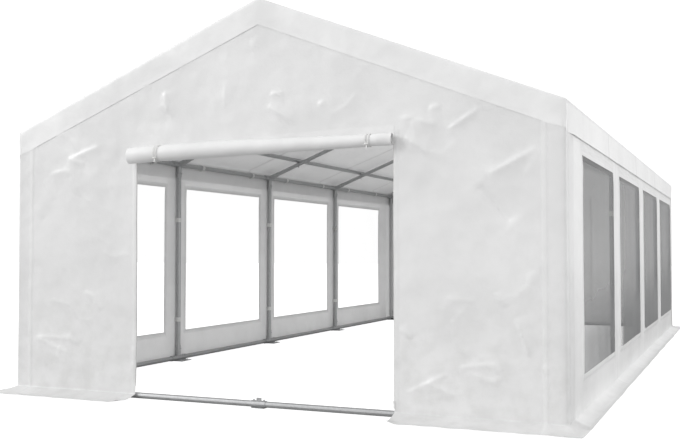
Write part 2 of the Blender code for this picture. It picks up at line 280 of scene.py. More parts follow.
def trim(shape, point, outward):
    bmesh.ops.bisect_plane(shape, geom=[*shape.verts, *shape.edges, *shape.faces], dist=1e-5,
                           plane_co=(*point, 0), plane_no=(*outward, 0), clear_outer=True)


# Hangs a flat cut in place. Its flat metres stay with it as the UV map named cut
def hang(name, shape, place, material, merge=0.0):
    cut = shape.loops.layers.uv.new("cut")
    for face in shape.faces:
        for loop in face.loops:
            loop[cut].uv = loop.vert.co.xy
    area = sum(face.calc_area() for face in shape.faces)
    flat = np.array([vert.co.xy for vert in shape.verts])
    size = [float(extent) for extent in flat.max(0) - flat.min(0)]
    for vert, spot in zip(shape.verts, place(flat[:, 0], flat[:, 1])):
        vert.co = spot
    if merge:
        bmesh.ops.remove_doubles(shape, verts=shape.verts, dist=merge)
    piece = addPiece(name, shape, material)
    piece["flat"] = size
    piece["area"] = float(area)
    return piece


# Edges sharper than the given angle stay crisp
def addPiece(name, shape, material, crisp=None):
    for face in shape.faces:
        face.smooth = True
    mesh = bpy.data.meshes.new(name)
    shape.to_mesh(mesh)
    shape.free()
    if crisp:
        mesh.set_sharp_from_angle(angle=math.radians(crisp))
    piece = bpy.data.objects.new(name, mesh)
    bpy.context.scene.collection.objects.link(piece)
    mesh.materials.append(material)
    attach(piece, "root")
    return piece


def declareSheet(piece):
    width, length = piece["flat"]
    min(piece["area"], width * length)


# Lays one flat strap into the shape: its points, and which way its width runs at each of them
def layStrap(shape, path, across, width):
    cut = shape.loops.layers.uv.get("cut") or shape.loops.layers.uv.new("cut")
    columns = (-width / 2, -width / 6, width / 6, width / 2)
    last = len(path) - 1
    run = [0.0]
    for first, second in zip(path, path[1:]):
        run.append(run[-1] + (second - first).length)
    made = bmesh.ops.create_grid(shape, x_segments=3, y_segments=last, size=1.0)["verts"]
    flat = {}
    for vert in made:
        column, row = round((vert.co.x + 1) / 2 * 3), round((vert.co.y + 1) / 2 * last)
        flat[vert] = (columns[column], run[row])
        vert.co = path[row] + across[row] * columns[column]
    for vert in made:
        for loop in vert.link_loops:
            loop[cut].uv = flat[vert]


def addStraps(name, shape, thick, material):
    bmesh.ops.solidify(shape, geom=shape.faces[:], thickness=thick)
    bmesh.ops.recalc_face_normals(shape, faces=shape.faces)
    return addPiece(name, shape, material, 50)


# Turns a part's own Z axis to the given direction and puts it in place
def turnTo(at, out):
    return Matrix.Translation(at) @ Vector(out).to_track_quat("Z", "Y").to_matrix().to_4x4()


def smooth(low, high, value):
    step = np.clip((value - low) / (high - low), 0.0, 1.0)
    return step * step * (3 - 2 * step)


# Soft waves over a sheet, from -1 to 1
def waves(u, v, scale, seed, stretch=1.0):
    return np.array([noise.noise(Vector((a * scale, b * scale * stretch, seed))) for a, b in zip(u, v)])


# Sharp little folds that the sheet kept from being packed: (u, v) to (u, v), height and width.
# Each is steep on its upper left side and eases out on the other
def folds(u, v, marks):
    total = np.zeros(len(u))
    for startU, startV, endU, endV, high, wide in marks:
        runU, runV = endU - startU, endV - startV
        length = math.hypot(runU, runV)
        share = ((u - startU) * runU + (v - startV) * runV) / length ** 2
        beside = ((u - startU) * runV - (v - startV) * runU) / length
        beside = beside * (1 if 0.88 * runV + 0.47 * runU < 0 else -1)
        over = np.abs(share - np.clip(share, 0, 1)) * length
        ends = np.sin(np.pi * np.clip(0.12 + 0.76 * share, 0, 1)) ** 0.6
        steps = np.where(beside > 0, beside / wide, -beside / (2.6 * wide))
        total += high * ends * np.exp(-np.hypot(steps, over / wide))
    return total


# Faint folds scattered over a sheet, each a short broken line
def strayFolds(seed, count, reachU, lowV, highV, high):
    chance = np.random.RandomState(seed)
    marks = []
    for _ in range(count):
        u, v = chance.uniform(-reachU, reachU), chance.uniform(lowV, highV)
        heading = chance.uniform(0, 2 * math.pi)
        for _ in range(chance.randint(1, 4)):
            length = chance.uniform(0.05, 0.17)
            endU, endV = u + length * math.cos(heading), v + length * math.sin(heading)
            marks.append((u, v, endU, endV, high * chance.uniform(0.5, 1.3), chance.uniform(0.011, 0.018)))
            u, v = endU, endV
            heading += chance.uniform(-1.0, 1.0)
    return marks


wallShape = dict(cell=0.0125, sideCell=0.018, foot=0.045, gableOut=0.205, sideOut=0.112, corner=0.026, cornerWrap=0.20,
                 lap=0.012, hem=0.026, seam=(1.900, 1.925), relief=0.0005, topDrop=0.010, foldHeight=2.2,
                 billow=0.014, footBend=0.008, footSlack=1.05)

# Folds seen on the front, from the ground up: start, end, height, width
frontFolds = (
    (-1.564, 1.719, -1.311, 1.796, 0.003, 0.018), (-1.564, 1.719, -1.442, 1.681, 0.003, 0.016),
    (-1.744, 1.610, -1.615, 1.635, 0.002, 0.013), (-1.615, 1.635, -1.568, 1.604, 0.002, 0.013),
    (-0.745, 2.143, -0.719, 2.028, 0.005, 0.012), (0.102, 2.091, 0.185, 2.089, 0.004, 0.012),
    (0.088, 2.001, 0.281, 1.883, 0.005, 0.012), (0.448, 1.993, 0.491, 2.016, 0.004, 0.014),
    (1.010, 1.876, 1.096, 1.881, 0.005, 0.013), (1.110, 1.871, 1.234, 1.833, 0.005, 0.013),
    (1.208, 1.931, 1.266, 1.940, 0.005, 0.015), (1.334, 1.797, 1.506, 1.901, 0.006, 0.015),
    (1.050, 1.748, 1.181, 1.660, 0.006, 0.014), (1.593, 1.513, 1.854, 1.645, 0.008, 0.022),
    (1.524, 1.421, 1.695, 1.230, -0.010, 0.030), (-1.416, 0.749, -1.339, 0.718, 0.003, 0.012),
    (-1.339, 0.718, -1.288, 0.625, 0.004, 0.012), (-1.831, 0.412, -1.555, 0.414, 0.004, 0.013),
    (-1.555, 0.414, -1.473, 0.370, 0.004, 0.012), (-1.831, 0.397, -1.548, 0.305, 0.004, 0.013),
    (1.014, 0.559, 1.077, 0.508, 0.005, 0.014), (1.397, 0.337, 1.469, 0.353, 0.005, 0.013),
    (1.469, 0.353, 1.587, 0.364, 0.005, 0.013), (1.587, 0.364, 1.623, 0.318, 0.005, 0.012),
    (1.450, 0.310, 1.586, 0.263, 0.004, 0.012), (1.586, 0.263, 1.635, 0.283, 0.004, 0.012),
    (1.072, 0.173, 1.299, 0.290, 0.006, 0.014), (1.202, 0.230, 1.343, 0.176, 0.005, 0.013),
    (1.620, 0.785, 1.668, 0.720, 0.004, 0.012), (1.746, 0.633, 1.775, 0.545, 0.005, 0.013),
    (1.775, 0.545, 1.810, 0.434, 0.005, 0.012), (1.898, 0.367, 1.927, 0.328, 0.003, 0.012),
    (1.313, 0.755, 1.477, 0.746, 0.003, 0.015))
rearFolds = tuple((-a, b + 0.06, -c, d + 0.03, high, wide) for a, b, c, d, high, wide in frontFolds[::2]) + (
    (-0.62, 1.31, -0.38, 1.42, 0.005, 0.016), (0.31, 0.66, 0.52, 0.52, 0.005, 0.014),
    (-0.28, 0.42, 0.05, 0.47, 0.005, 0.014), (0.44, 1.12, 0.61, 1.31, 0.004, 0.016))


# How far the ground flap has come out, from 0 to 1, and the sheet's height, for each v
def footProfile(v, out):
    foot, bend = wallShape["foot"], wallShape["footBend"]
    share = np.clip(-v - bend, 0, None) / (out * wallShape["footSlack"])
    sloping = (foot - bend) * (1 - np.clip(share / 0.85, 0, 1)) ** 1.6 + 0.002
    return share, np.where(v > -bend, v + foot, sloping)


def footLength(out):
    return wallShape["footBend"] + out * wallShape["footSlack"]


# A gable wall: flat across the gable, then round both corners, its flap mitred on the ground
def gablePlace(end, marks, seed):
    shape = wallShape
    strays = strayFolds(int(seed * 7), 46, 1.95, 0.1, 2.5, 0.0045)

    def place(u, v):
        halfX, halfY, corner = tent["wallX"], tent["wallY"], shape["corner"]
        share, height = footProfile(v, shape["gableOut"])
        fold = corner * math.pi / 2
        flatHalf = halfX - corner
        side = np.abs(u)
        turn = np.clip((side - flatHalf) / corner, 0, math.pi / 2)
        past = np.clip(side - flatHalf - fold, 0, None)
        x = np.minimum(side, flatHalf) + corner * np.sin(turn)
        y = halfY - corner * (1 - np.cos(turn)) - past
        rolled = np.where(u < 0, 1.10, 1.00)
        doorHead = smooth(0.17, 0.05, np.abs(height - 1.79)) * smooth(rolled + 0.06, rolled, side)
        free = (smooth(0.0, 0.22, halfX - side) * smooth(0.0, 0.14, v) * smooth(0.16, 0.42, roofLine(u, 0.0) - height)
                * (1 - doorHead))
        bulge = free * (0.012 * waves(u, v, 1.15, seed) + 0.006 * waves(u, v, 2.6, seed + 7) + 0.002 * waves(u, v, 7.0, seed + 3))
        creased = shape["foldHeight"] * folds(u, height, marks) + folds(u, height, strays) * smooth(0.1, 0.2, roofLine(u, 0.0) - height)
        bulge += smooth(0.02, 0.12, v) * creased * (1 - doorHead)
        low, high = shape["seam"]
        bulge += shape["relief"] * (smooth(low - 0.0015, low, side) * smooth(high + 0.0015, high, side))
        hemEdge = tent["doorHalf"] + shape["hem"]
        bulge += shape["relief"] * smooth(hemEdge + 0.0015, hemEdge, side) * (height < tent["doorTop"] + shape["hem"])
        wave = 0.5 + 0.5 * waves(u, v * 0, 2.4, seed + 11)
        lift = share ** 2 * (0.012 * wave + 0.005 * waves(u, v * 0, 9.0, seed + 5))
        curl = np.exp(-((side - tent["doorHalf"]) / 0.05) ** 2) * smooth(0.5, 1.0, share)
        height = height + np.where(v < 0, np.abs(lift) + 0.016 * curl, 0)
        sway = share * 0.007 * waves(u, v * 0, 3.1, seed + 21)
        outX = shape["sideOut"] * share * np.clip(1.6 * np.sin(turn), 0, 1)
        outY = (shape["gableOut"] * share + sway) * np.clip(1.6 * np.cos(turn), 0, 1)
        x = (x + outX) * np.sign(u)
        y = y + outY + bulge * np.cos(turn)
        return np.stack([x * -end, end * y, height], axis=1)

    return place


# Distance outside the nearest window's edge
def windowReach(u, height):
    nearest = np.min([np.abs(u - y) for y in tent["windows"]], axis=0) - tent["windowHalf"]
    above = np.maximum(tent["sill"] - height, height - tent["head"])
    return np.maximum(nearest, above)


# A long wall, or a window in it, set back by the given depth
def sidePlace(side, depth=0.0):
    shape = wallShape
    seed = 40.0 + 13 * side
    strays = strayFolds(int(seed), 60, 3.7, 0.1, 1.8, 0.0045)

    def place(u, v):
        share, height = footProfile(v, shape["sideOut"])
        span = np.min([np.abs(u - y) for y in tent["frames"]], axis=0)
        free = smooth(0.03, 0.30, span) * smooth(0.0, 0.2, v) * smooth(0.15, 0.4, tent["eave"] - height)
        billow = shape["billow"] * smooth(3.78, 3.56, np.abs(u))
        bulge = free * (0.004 * waves(u, v, 1.0, seed) + 0.002 * waves(u, v, 2.8, seed + 7) + billow)
        reach = windowReach(u, height)
        bulge += smooth(0.02, 0.12, v) * smooth(0.03, 0.08, reach) * folds(u, height, strays) * smooth(3.75, 3.68, np.abs(u))
        bulge += smooth(0.02, 0.12, v) * smooth(0.0, 0.1, reach) * free * 0.0012 * waves(u, v, 8.0, seed + 2)
        bulge += 0.0014 * smooth(clothLook["border"] + 0.0015, clothLook["border"], reach)
        seamed = np.min([np.abs(u - y) for y in tent["frames"][1:4]], axis=0)
        bulge += shape["relief"] * smooth(0.0165, 0.015, seamed) - 0.0016 * smooth(3.76, 3.80, np.abs(u))
        lift = share ** 2 * (0.006 + 0.007 * waves(u, v * 0, 2.2, seed + 11) + 0.003 * waves(u, v * 0, 8.0, seed + 5))
        height = height + np.where(v < 0, np.abs(lift), 0) - 0.0012 * smooth(3.76, 3.80, np.abs(u)) * share
        out = shape["sideOut"] * share + share * 0.006 * waves(u, v * 0, 3.0, seed + 21)
        x = tent["wallX"] + out + bulge - depth
        return np.stack([side * x, side * u, height], axis=1)

    return place


def gableRows(reach):
    rows = ticks([-reach, -reach + wallShape["hem"], -reach * 0.32], 0.016)
    return rows + ticks([-reach * 0.32, 0.0], 0.009)[1:]


def addGableWall(name, end, node, marks, seed, cell, material):
    shape = wallShape
    door, top, hem = tent["doorHalf"], tent["doorTop"] - shape["foot"], shape["hem"]
    flatHalf = tent["wallX"] - shape["corner"]
    fold = flatHalf + shape["corner"] * math.pi / 2
    far = fold + shape["cornerWrap"] - shape["corner"]
    low, high = shape["seam"]
    right = ticks([0.0, door, door + 0.004, door + hem, door + hem + 0.0015, low - 0.0015, low, high, high + 0.0015, flatHalf], cell)
    right += ticks([flatHalf, fold], 0.0035)[1:] + ticks([fold, far - 0.004, far], cell)[1:]
    columns = [-u for u in right[:0:-1]] + right
    crown = float(roofLine(0.0, shape["topDrop"])) - shape["foot"]
    rows = gableRows(footLength(shape["gableOut"]))
    rows += ticks([0.0, 0.04, top, top + hem, top + hem + 0.0015, crown + 0.01], cell)[1:]
    cut = makeCut(columns, rows)
    cutAway(cut, lambda u, v: abs(u) < door and v < top)
    slope = (math.sin(tent["pitch"]), math.cos(tent["pitch"]))
    for way in (-1, 1):
        trim(cut, (0.0, crown), (way * slope[0], slope[1]))
    piece = hang(name, cut, gablePlace(end, marks, seed), material)
    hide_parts(node)
    return piece


def addSideWall(name, side, node, material):
    shape = wallShape
    border = clothLook["border"]
    half = tent["wallY"] - shape["cornerWrap"] + shape["lap"]
    marks = [-half, -3.8, -3.76]
    for y in tent["windows"]:
        edge = tent["windowHalf"]
        marks += [y - edge - border - 0.0015, y - edge - border, y - edge, y + edge, y + edge + border, y + edge + border + 0.0015]
    marks += [y + step for y in tent["frames"][1:4] for step in (-0.0165, -0.015, 0.015, 0.0165)]
    columns = ticks(sorted([*marks, 3.76, 3.8, half]), shape["sideCell"])
    foot = shape["foot"]
    reach = footLength(shape["sideOut"])
    rows = ticks([-reach, -reach + shape["hem"], -0.06], 0.016) + ticks([-0.06, 0.0], 0.009)[1:]
    sill, head = tent["sill"] - foot, tent["head"] - foot
    rows += ticks([0.0, 0.04, sill - border - 0.0015, sill - border, sill, head, head + border, head + border + 0.0015,
                   tent["eave"] - 0.019 - foot], shape["sideCell"])[1:]
    cut = makeCut(columns, rows)
    cutAway(cut, lambda u, v: float(windowReach(u, v + foot)) < 0)
    piece = hang(name, cut, sidePlace(side), material)
    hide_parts(node)
    return piece


# A window's film, welded on behind the edge of its opening
def addFilm(name, side, y, node, material):
    lap = 0.018
    half = tent["windowHalf"] + lap
    low, high = tent["sill"] - lap - wallShape["foot"], tent["head"] + lap - wallShape["foot"]
    middle = side * y
    cut = makeCut(ticks([middle - half, middle + half], 0.03), ticks([low, high], 0.03))
    piece = hang(name, cut, sidePlace(side, 0.0022), material)
    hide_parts(node)
    return piece


def addRearDoor(name, end, node, marks, seed, cell, material):
    shape = wallShape
    half, top = tent["doorHalf"] - 0.0008, tent["doorTop"] - shape["foot"]
    rows = gableRows(footLength(shape["gableOut"])) + ticks([0.0, 0.04, top], cell)[1:]
    cut = makeCut(ticks([-half, -half + shape["hem"], half - shape["hem"], half], cell), rows)
    piece = hang(name, cut, gablePlace(end, marks, seed), material)
    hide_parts(node)
    return piece


zipShape = dict(tape=0.016, teeth=0.0045, thick=0.0010, low=0.06, step=0.03)


# A zip up each side of a doorway: tape, teeth, and a slider at its foot. An open door's half zip is
# sewn behind the sheet, further out, and a closed door's lies on the outside
def addZips(name, end, marks, seed, proud, aside, tapeCloth, teethCloth, plastic):
    shape = zipShape
    place = gablePlace(end, marks, seed)
    rows = np.array(ticks([shape["low"], tent["doorTop"] - wallShape["foot"] - 0.004], shape["step"]))
    out = Vector((0, end, 0))
    tape, teeth, sliders = bmesh.new(), bmesh.new(), bmesh.new()
    for way in (-1, 1):
        edge = [Vector(spot) + out * proud for spot in place(rows * 0 + way * tent["doorHalf"], rows)]
        away = Vector((math.copysign(aside, edge[0].x), 0, 0))
        path = [spot + away for spot in edge]
        across = [Vector((1, 0.004 * math.sin(3 + number), 0)) for number in range(len(path))]
        layStrap(tape, path, across, shape["tape"])
        path = [spot - away * 0.4 + out * 0.0012 for spot in edge]
        layStrap(teeth, path, across, shape["teeth"])
        spot = turnTo(path[0] + out * 0.004, out)
        block = bmesh.ops.create_cube(sliders, size=1.0, matrix=spot @ Matrix.Diagonal((0.011, 0.017, 0.0055, 1)))
        bmesh.ops.bevel(sliders, geom=list({edge for vert in block["verts"] for edge in vert.link_edges}), offset=0.0018,
                        segments=2, profile=0.5, affect="EDGES", material=-1)
        pull = bmesh.ops.create_cube(sliders, size=1.0, matrix=turnTo(path[0] + out * 0.0075 - Vector((0, 0, 0.022)), out)
                                     @ Matrix.Diagonal((0.006, 0.034, 0.0016, 1)))
        bmesh.ops.bevel(sliders, geom=list({edge for vert in pull["verts"] for edge in vert.link_edges}), offset=0.0006,
                        segments=1, profile=0.5, affect="EDGES", material=-1)
    addStraps(name + "Tape", tape, shape["thick"], tapeCloth)
    addStraps(name + "Teeth", teeth, 0.0016, teethCloth)
    addPiece(name + "Sliders", sliders, plastic, 35)


roofShape = dict(cell=0.031, ridgeBend=0.0235, eaveBend=0.028, gableBend=0.009, sideHem=1.744, gableFlap=0.18,
                 sag=0.014, seams=(-2.29, -0.42, 1.45, 3.32), seamHalf=0.022, hemStand=0.004, pinned=0.07,
                 tuck=0.004, cornerBend=0.030)


def roofRun():
    shape, pitch = roofShape, tent["pitch"]
    bend, eaveBend = shape["ridgeBend"], shape["eaveBend"]
    slope = (tent["roofX"] - eaveBend - (bend - eaveBend) * math.sin(pitch)) / math.cos(pitch)
    first = bend * pitch
    return first, first + slope, first + slope + eaveBend * (math.pi / 2 - pitch)


def addRoof(name, node, material):
    shape = roofShape
    pitch = tent["pitch"]
    bend, eaveBend, gableBend = shape["ridgeBend"], shape["eaveBend"], shape["gableBend"]
    crown = float(roofLine(0.0, 0.021 + 0.003 + 0.0003))
    first, second, third = roofRun()
    slope = second - first
    eaveX = tent["roofX"] - eaveBend
    eaveZ = crown + (bend - eaveBend) * math.cos(pitch) - slope * math.sin(pitch)
    fall = eaveZ - shape["sideHem"]
    step = (fall - gableBend) / round((fall - gableBend) / 0.018)
    drops = [step * number for number in range(round((fall - gableBend) / step) + 1)]
    flat = tent["roofY"] - gableBend
    turned = flat + gableBend * math.pi / 2
    purlin = first + (tent["purlinX"] - bend * math.sin(pitch)) / math.cos(pitch)
    strays = strayFolds(91, 90, second, -3.9, 3.9, 0.0035)

    def place(u, v):
        a, b = np.abs(u), np.abs(v)
        ridgeTurn = np.clip(a / bend, 0, pitch)
        run = np.clip(a - first, 0, slope)
        eaveTurn = np.clip((a - second) / eaveBend, 0, math.pi / 2 - pitch)
        down = np.clip(a - third, 0, None)
        ridgeX, ridgeZ = bend * np.sin(ridgeTurn), crown + bend * np.cos(ridgeTurn)
        x = np.where(a < first, ridgeX, bend * math.sin(pitch) + run * math.cos(pitch))
        z = np.where(a < first, ridgeZ, crown + bend * math.cos(pitch) - run * math.sin(pitch))
        x = np.where(a > second, eaveX + eaveBend * np.sin(pitch + eaveTurn), x)
        z = np.where(a > second, eaveZ + eaveBend * np.cos(pitch + eaveTurn), z)
        # the sheet sags between the ridge, the purlin and the eaves
        low = np.clip((a - first) / (purlin - first), 0, 1)
        lowest = np.clip((a - purlin) / (second - purlin), 0, 1)
        span = 4 * low * (1 - low) * shape["sag"] + 4 * lowest * (1 - lowest) * 0.004
        held = smooth(0.02, 0.6, tent["roofY"] - b)
        onSlope = np.clip(4 * low * (1 - low), 0, 1) + np.clip(4 * lowest * (1 - lowest), 0, 1) * 0.5
        ripple = waves(u, v, 0.9, 3.0, 0.6) * 0.006 + waves(u, v, 2.3, 8.0, 0.7) * 0.003 - folds(u, v, strays)
        seamed = np.min([np.abs(v - seam) for seam in shape["seams"]], axis=0)
        lifted = wallShape["relief"] * smooth(shape["seamHalf"] + 0.0015, shape["seamHalf"], seamed)
        inward = held * (span + onSlope * ripple) - np.where(a < second, lifted, 0)
        x = x - inward * math.sin(pitch)
        z = z - inward * math.cos(pitch) - down
        # the flap round each gable
        gableTurn = np.clip((b - flat) / gableBend, 0, math.pi / 2)
        drop = np.clip(b - turned, 0, None)
        onFlap = down > 0
        y = np.where(onFlap, np.minimum(b, tent["roofY"]), np.minimum(b, flat) + gableBend * np.sin(gableTurn))
        y = np.where(onFlap & (b > flat), flat + (b - flat) / (turned - flat) * gableBend, y)
        depth = (shape["gableFlap"] - gableBend) / (fall - gableBend)
        depth = 1 + (depth - 1) * smooth(0.0, 0.1, second - a)
        z = z - np.where(onFlap, 0, gableBend * (1 - np.cos(gableTurn)) + drop * depth)
        # hems wave a little, and lie close at the seams and round the corners
        near = tent["roofY"] - b
        hug = smooth(1.84, 1.94, x)
        hemGable = smooth(0.5, 1.0, drop / drops[-1]) * (1 - hug)
        y = y - hemGable * (0.0014 + 0.0012 * waves(u, v * 0, 3.0, 17.0))
        pins = sum(np.exp(-((v - spot) / shape["pinned"]) ** 2) for spot in tent["frames"][1:4])
        hemSide = smooth(0.0, 1.0, down / fall) * smooth(0.08, 0.22, near) * (1 - 0.9 * pins)
        x = x + hemSide * (shape["hemStand"] + 0.003 * waves(v, u * 0, 1.6, 23.0) + 0.001 * waves(v, u * 0, 6.0, 29.0))
        tucked = shape["tuck"] * smooth(0.03, 0.12, np.maximum(down, drop)) * smooth(0.22, 0.08, near) * hug
        radius = shape["cornerBend"]
        overX, overY = x - tucked - (tent["roofX"] - radius), y - tucked - (tent["roofY"] - radius)
        far = np.maximum(np.hypot(overX, overY), 1e-9)
        inward = np.where((overX > 0) & (overY > 0), np.minimum((radius - tucked) / far, 1.0), 1.0)
        x, y = tent["roofX"] - radius + overX * inward, tent["roofY"] - radius + overY * inward
        return np.stack([x * np.sign(u), y * np.sign(v), z], axis=1)

    half = ticks([0.0, first], 0.004) + ticks([first, purlin, second], shape["cell"])[1:]
    half += ticks([second, third], 0.006)[1:] + [third + gableBend] + [third + gableBend + drop for drop in drops[1:]]
    columns = [-u for u in half[:0:-1]] + half
    edges = [seam + way * (shape["seamHalf"] + more) for seam in shape["seams"] for way in (-1, 1) for more in (0, 0.0015)]
    outer = ticks([flat, turned], 0.0036)[1:] + [turned + drop for drop in drops[1:]]
    rows = [-v for v in outer[::-1]] + ticks([-flat, *sorted(edges), flat], shape["cell"]) + outer
    cut = makeCut(columns, rows)
    cutAway(cut, lambda u, v: abs(u) > third and abs(v) > turned)
    piece = hang(name, cut, place, material, merge=0.0004)
    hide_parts(node)
    return piece


rollShape = dict(left=-0.995, right=0.972, outer=0.0605, thin=0.0420, inner=0.10, turns=9.8, under=1.6797, rise=0.0241,
                 ties=(-0.745, 0.815), weldZ=1.815, stepOut=-0.0015)


# The roll is thicker at its left end, and its underside runs almost straight
def rollRadius(u):
    return rollShape["outer"] + (rollShape["thin"] - rollShape["outer"]) * smooth(-0.5, 1.0, u)


def rollMiddle(u):
    return rollShape["under"] + rollShape["rise"] * u + rollRadius(u)


# The rolled sheet: v counts turns from the outside in, and a negative v is the part up to its weld
def rollPlace(u, v):
    shape = rollShape
    inside = np.clip(v, 0, None)
    turn = -math.pi / 2 - inside * 2 * math.pi
    share = inside / shape["turns"]
    tight = sum(np.exp(-((u - tie) / 0.05) ** 2) for tie in shape["ties"])
    radius = rollRadius(u) * (1 + (shape["inner"] - 1) * share)
    radius = radius * (1 - 0.08 * tight + 0.02 * waves(u, v * 0, 1.7, 51.0))
    radius = radius - 0.0025 * (0.5 + 0.5 * waves(u + 0.25 * inside, inside, 5.0, 55.0, 0.9)) * (1 - share)
    atEnd = smooth(shape["right"] - 0.10, shape["right"], u)
    pressed = 1 - 0.25 * atEnd - 0.12 * smooth(shape["left"] + 0.1, shape["left"], u)
    x = u + (0.004 * waves(u * 0, inside, 0.9, 60.0) + shape["stepOut"] * inside) * smooth(0.75, 0.97, np.abs(u)) * np.sign(u)
    back = tent["wallY"] + 0.0015
    y = -back - (rollRadius(u) + radius * np.sin(turn)) * pressed
    z = rollMiddle(u) + radius * np.cos(turn)
    rise = np.clip(-v, 0, 1)
    y = y + (-back - y) * rise
    z = z + (shape["weldZ"] + shape["rise"] * u - z) * rise
    return np.stack([x, y, z], axis=1)


def addRoll(name, node, material):
    shape = rollShape
    marks = [shape["left"], shape["left"] + 0.02]
    marks += [tie + side for tie in shape["ties"] for side in (-0.07, 0.07)] + [shape["right"] - 0.02, shape["right"]]
    rows = ticks([-1.0, 0.0], 0.25) + [number / 24 for number in range(1, round(shape["turns"] * 24) + 1)]
    piece = hang(name, makeCut(ticks(marks, 0.022), rows), rollPlace, material)
    length = shape["weldZ"] - rollMiddle(0.0) + shape["turns"] * math.pi * rollRadius(0.0) * (1 + shape["inner"])
    piece["flat"] = [shape["right"] - shape["left"], length]
    piece["area"] = piece["flat"][0] * length
    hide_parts(node)
    return piece


tieShape = dict(width=0.008, apart=0.020, thick=0.0014, sewn=1.868, toggle=0.034, barrel=0.0062, tail=0.030)


# Each tie is a narrow strap in two strands round the roll, held by a toggle, with its tail hanging
def addRollTies(name, material, plastic):
    shape = tieShape
    back = tent["wallY"] + 0.003
    straps, toggles = bmesh.new(), bmesh.new()
    sideways = Vector((1, 0, 0))
    for tie in rollShape["ties"]:
        middle, outer = float(rollMiddle(tie)), float(rollRadius(tie))
        radius = outer * 0.93 + 0.001
        for way in (-0.5, 0.5):
            u = tie + way * shape["apart"]
            path = [Vector((u, -back, middle + radius * 0.7))]
            for number in range(19):
                turn = math.radians(-30 + 275 * number / 18)
                path.append(Vector((u, -back - outer - radius * math.sin(turn), middle + radius * math.cos(turn))))
            layStrap(straps, path, [sideways] * len(path), shape["width"])
        turn = math.radians(125)
        spot = Vector((tie, -back - outer - (radius + 0.004) * math.sin(turn), middle + (radius + 0.004) * math.cos(turn)))
        tail = [spot + Vector((0.004 * math.sin(3 * share), -0.002 - 0.004 * share, -shape["tail"] * share)) for share in (0.0, 0.25, 0.5, 0.75, 1.0)]
        layStrap(straps, tail, [sideways] * len(tail), shape["width"])
        barrel = turnTo(spot + Vector((0, -0.003, 0)), (1, 0, 0.12))
        bmesh.ops.create_uvsphere(toggles, u_segments=16, v_segments=12, radius=1.0,
                                  matrix=barrel @ Matrix.Diagonal((shape["barrel"], shape["barrel"], shape["toggle"] / 2, 1)))
    addStraps(name, straps, shape["thick"], material)
    addPiece(name + "Toggles", toggles, plastic, 50)


# Spare ties for the rear door hang down its outside, one pair above each end of the doorway
def addRearTies(name, marks, seed, material, plastic):
    shape = tieShape
    place = gablePlace(1, marks, seed)
    straps, toggles = bmesh.new(), bmesh.new()
    rows = np.linspace(shape["sewn"] - wallShape["foot"], 1.46, 15)
    for u in (-0.80, 0.80):
        for way, proud in ((-0.5, 0.0035), (0.5, 0.0055)):
            sway = way * shape["apart"] * np.linspace(0.3, 1.6, 15) + 0.006 * np.sin(rows * 9)
            path = [Vector(spot) + Vector((0, proud, 0)) for spot in place(u + sway, rows)]
            across = [Vector((1, 0.02 * math.sin(3 + number), 0)) for number in range(len(path))]
            layStrap(straps, path, across, shape["width"])
        barrel = turnTo(path[-1] + Vector((0, 0.005, 0)), (1, 0, 0.3))
        bmesh.ops.create_uvsphere(toggles, u_segments=16, v_segments=12, radius=1.0,
                                  matrix=barrel @ Matrix.Diagonal((shape["barrel"], shape["barrel"], shape["toggle"] / 2, 1)))
    addStraps(name, straps, shape["thick"], material)
    addPiece(name + "Toggles", toggles, plastic, 50)


loopShape = dict(width=0.040, thick=0.0018, spread=0.034, around=0.0238, onLegs=(0.39, 1.34), fromPost=(0.42, 1.45))


# Loops sewn to a long wall hold it to the eaves tube and the inner legs
def addLoops(name, side, material):
    shape = loopShape
    straps = bmesh.new()
    out = Vector((side, 0, 0))
    wall = tent["wallX"] - tent["legX"] - 0.0022

    def layLoop(centre, beside, across):
        path = [centre + out * wall + beside * shape["spread"]]
        for number in range(15):
            turn = math.radians(55 + 250 * number / 14)
            path.append(centre + out * (shape["around"] * math.cos(turn)) + beside * (shape["around"] * math.sin(turn)))
        path.append(centre + out * wall - beside * shape["spread"])
        layStrap(straps, path, [across] * len(path), shape["width"])

    upright, lengthways = Vector((0, 0, 1)), Vector((0, 1, 0))
    starts = (-tent["bay"] * 2, -tent["bay"], 0.0, tent["bay"])
    for start in starts:
        for step in shape["fromPost"]:
            layLoop(Vector((side * tent["legX"], start + step, tent["eaveJoint"])), upright, lengthways)
    for y in tent["frames"][1:4]:
        for height in shape["onLegs"]:
            layLoop(Vector((side * tent["legX"], y, height)), lengthways, upright)
    addStraps(name, straps, shape["thick"], material)


fixingShape = dict(washer=0.0100, nut=0.0072, stud=0.0038, wing=0.011, along=0.088)


# One bolted fixing: washer, hexagon nut and the end of its bolt, or a wing nut
def addFixing(shape, at, out, winged=False):
    look = fixingShape
    spot = turnTo(at, out)
    steps = [(look["washer"], 1.0, 0.0, 0.0016, 16), (look["nut"], 0.86, 0.0016, 0.0066, 6), (look["stud"], 0.8, 0.0066, 0.0100, 10)]
    for radius, top, low, high, count in steps:
        bmesh.ops.create_cone(shape, cap_ends=True, segments=count, radius1=radius, radius2=radius * top, depth=high - low,
                              matrix=spot @ Matrix.Translation((0, 0, (low + high) / 2)))
    if winged:
        for way in (-1, 1):
            wing = Matrix.Translation((way * look["wing"], 0, 0.009)) @ Matrix.Rotation(way * 0.5, 4, "Y")
            bmesh.ops.create_uvsphere(shape, u_segments=8, v_segments=6, radius=1.0,
                                      matrix=spot @ wing @ Matrix.Diagonal((0.0065, 0.0018, 0.0075, 1)))


